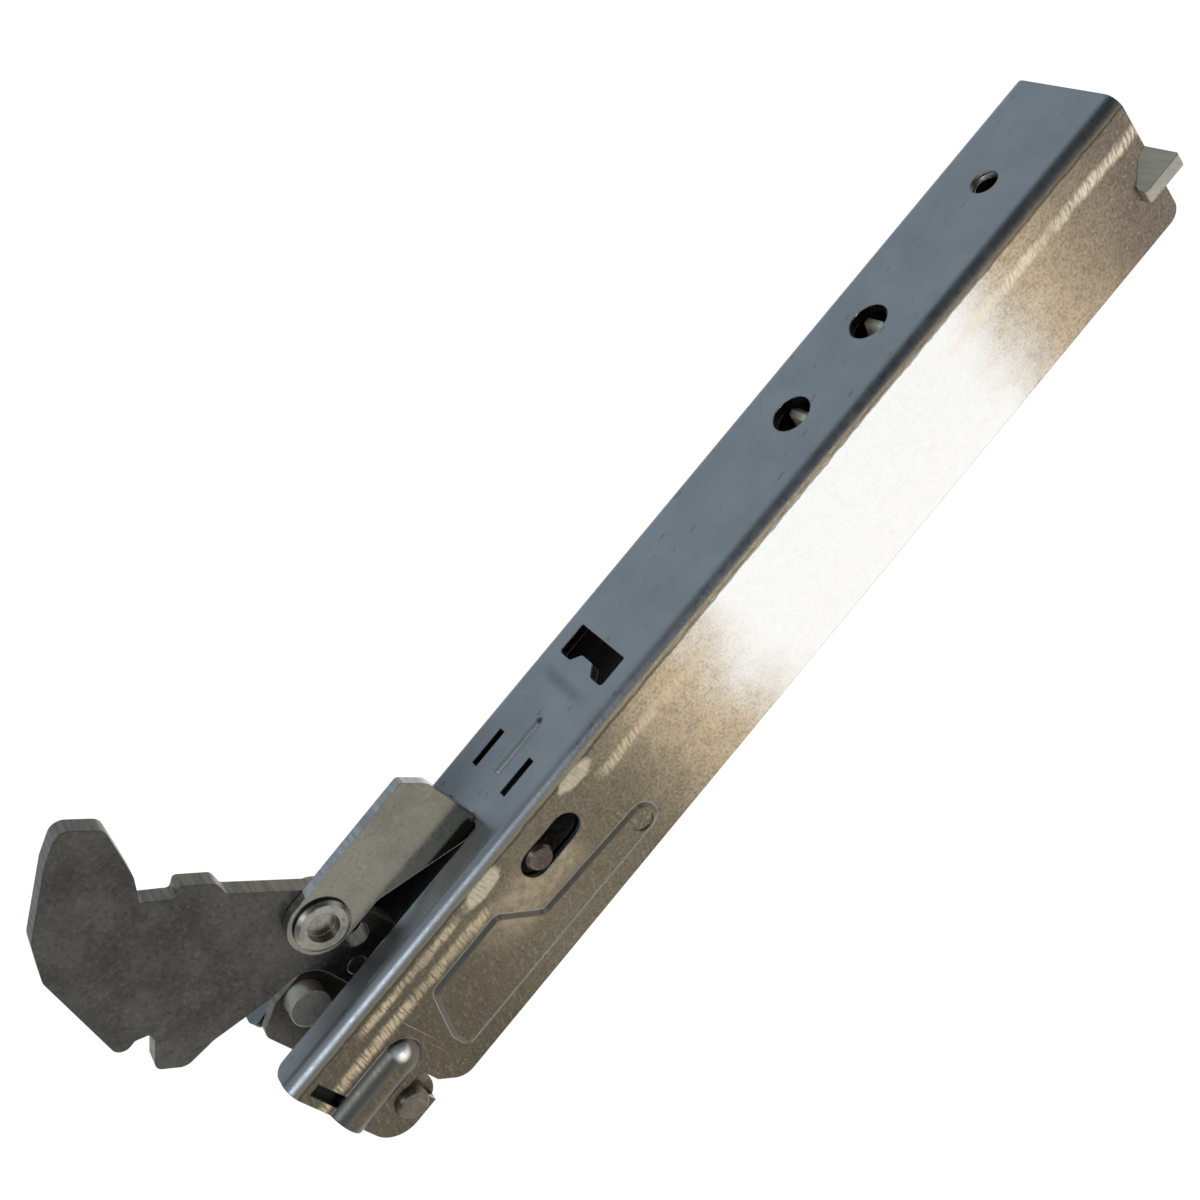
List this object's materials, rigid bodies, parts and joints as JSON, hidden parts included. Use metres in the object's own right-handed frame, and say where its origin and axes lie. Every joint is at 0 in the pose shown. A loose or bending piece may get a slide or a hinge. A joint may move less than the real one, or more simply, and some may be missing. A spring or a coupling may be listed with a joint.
{
  "type": "oven door hinge",
  "caption": "Sheet steel channel hinge for an oven door, with a hooked arm on a pivot pin, a tension spring inside and a hold-open latch.",
  "frame": {"origin": "centre of the screw hole in the channel's web, on the web's outer face", "axes": "+X along the channel towards the hook arm, +Z out of the web along the screw hole, +Y across the channel"},
  "size_m": [0.1903, 0.025, 0.0715],
  "materials": {
    "galvanised_sheet": "galvanised, scuffed",
    "arm_steel": "plain rolled steel",
    "pin_steel": "plain steel, slightly rusty",
    "latch_steel": "zinc plated",
    "spring_wire": "oiled spring steel"
  },
  "bodies": {
    "channel": {"housing": "galvanised_sheet", "anchor_strap": "galvanised_sheet", "tension_spring": "spring_wire", "pivot_pin": "pin_steel", "pivot_bush_near": "pin_steel", "pivot_bush_far": "pin_steel"},
    "arm": {"claw_arm": "arm_steel", "arm_doubler": "arm_steel", "doubler_rivet_1": "pin_steel", "doubler_rivet_2": "pin_steel", "stop_stud": "pin_steel", "latch_rivet": "pin_steel"},
    "links": {"link_near": "arm_steel", "link_far": "arm_steel", "link_pin": "pin_steel", "spring_pin": "pin_steel"},
    "hold_open": {"latch": "latch_steel"},
    "guide": {"guide_pin": "pin_steel"}
  },
  "joints": [
    {"name": "arm_hinge", "type": "hinge", "parent": "channel", "child": "arm", "pos_m": [0.1542, 0, -0.0188], "axis": [0, 1, 0], "range_deg": [0, 49], "deforming": ["tension_spring"]},
    {"name": "link_hinge", "type": "hinge", "parent": "arm", "child": "links", "pos_m": [0.146, 0, -0.013], "axis": [0, 1, 0], "range_deg": [-54, 0], "deforming": ["tension_spring"]},
    {"name": "latch_hinge", "type": "hinge", "parent": "arm", "child": "hold_open", "pos_m": [0.1401, 0, 0.0089], "axis": [0, 1, 0], "range_deg": [0, 110]},
    {"name": "guide_slide", "type": "slide", "parent": "channel", "child": "guide", "axis": [1, 0, 0], "range_m": [-0.0053, 0.0007]}
  ],
  "couplings": [
    {"joint": "link_hinge", "follows": "arm_hinge", "ratio": -1.094}
  ]
}
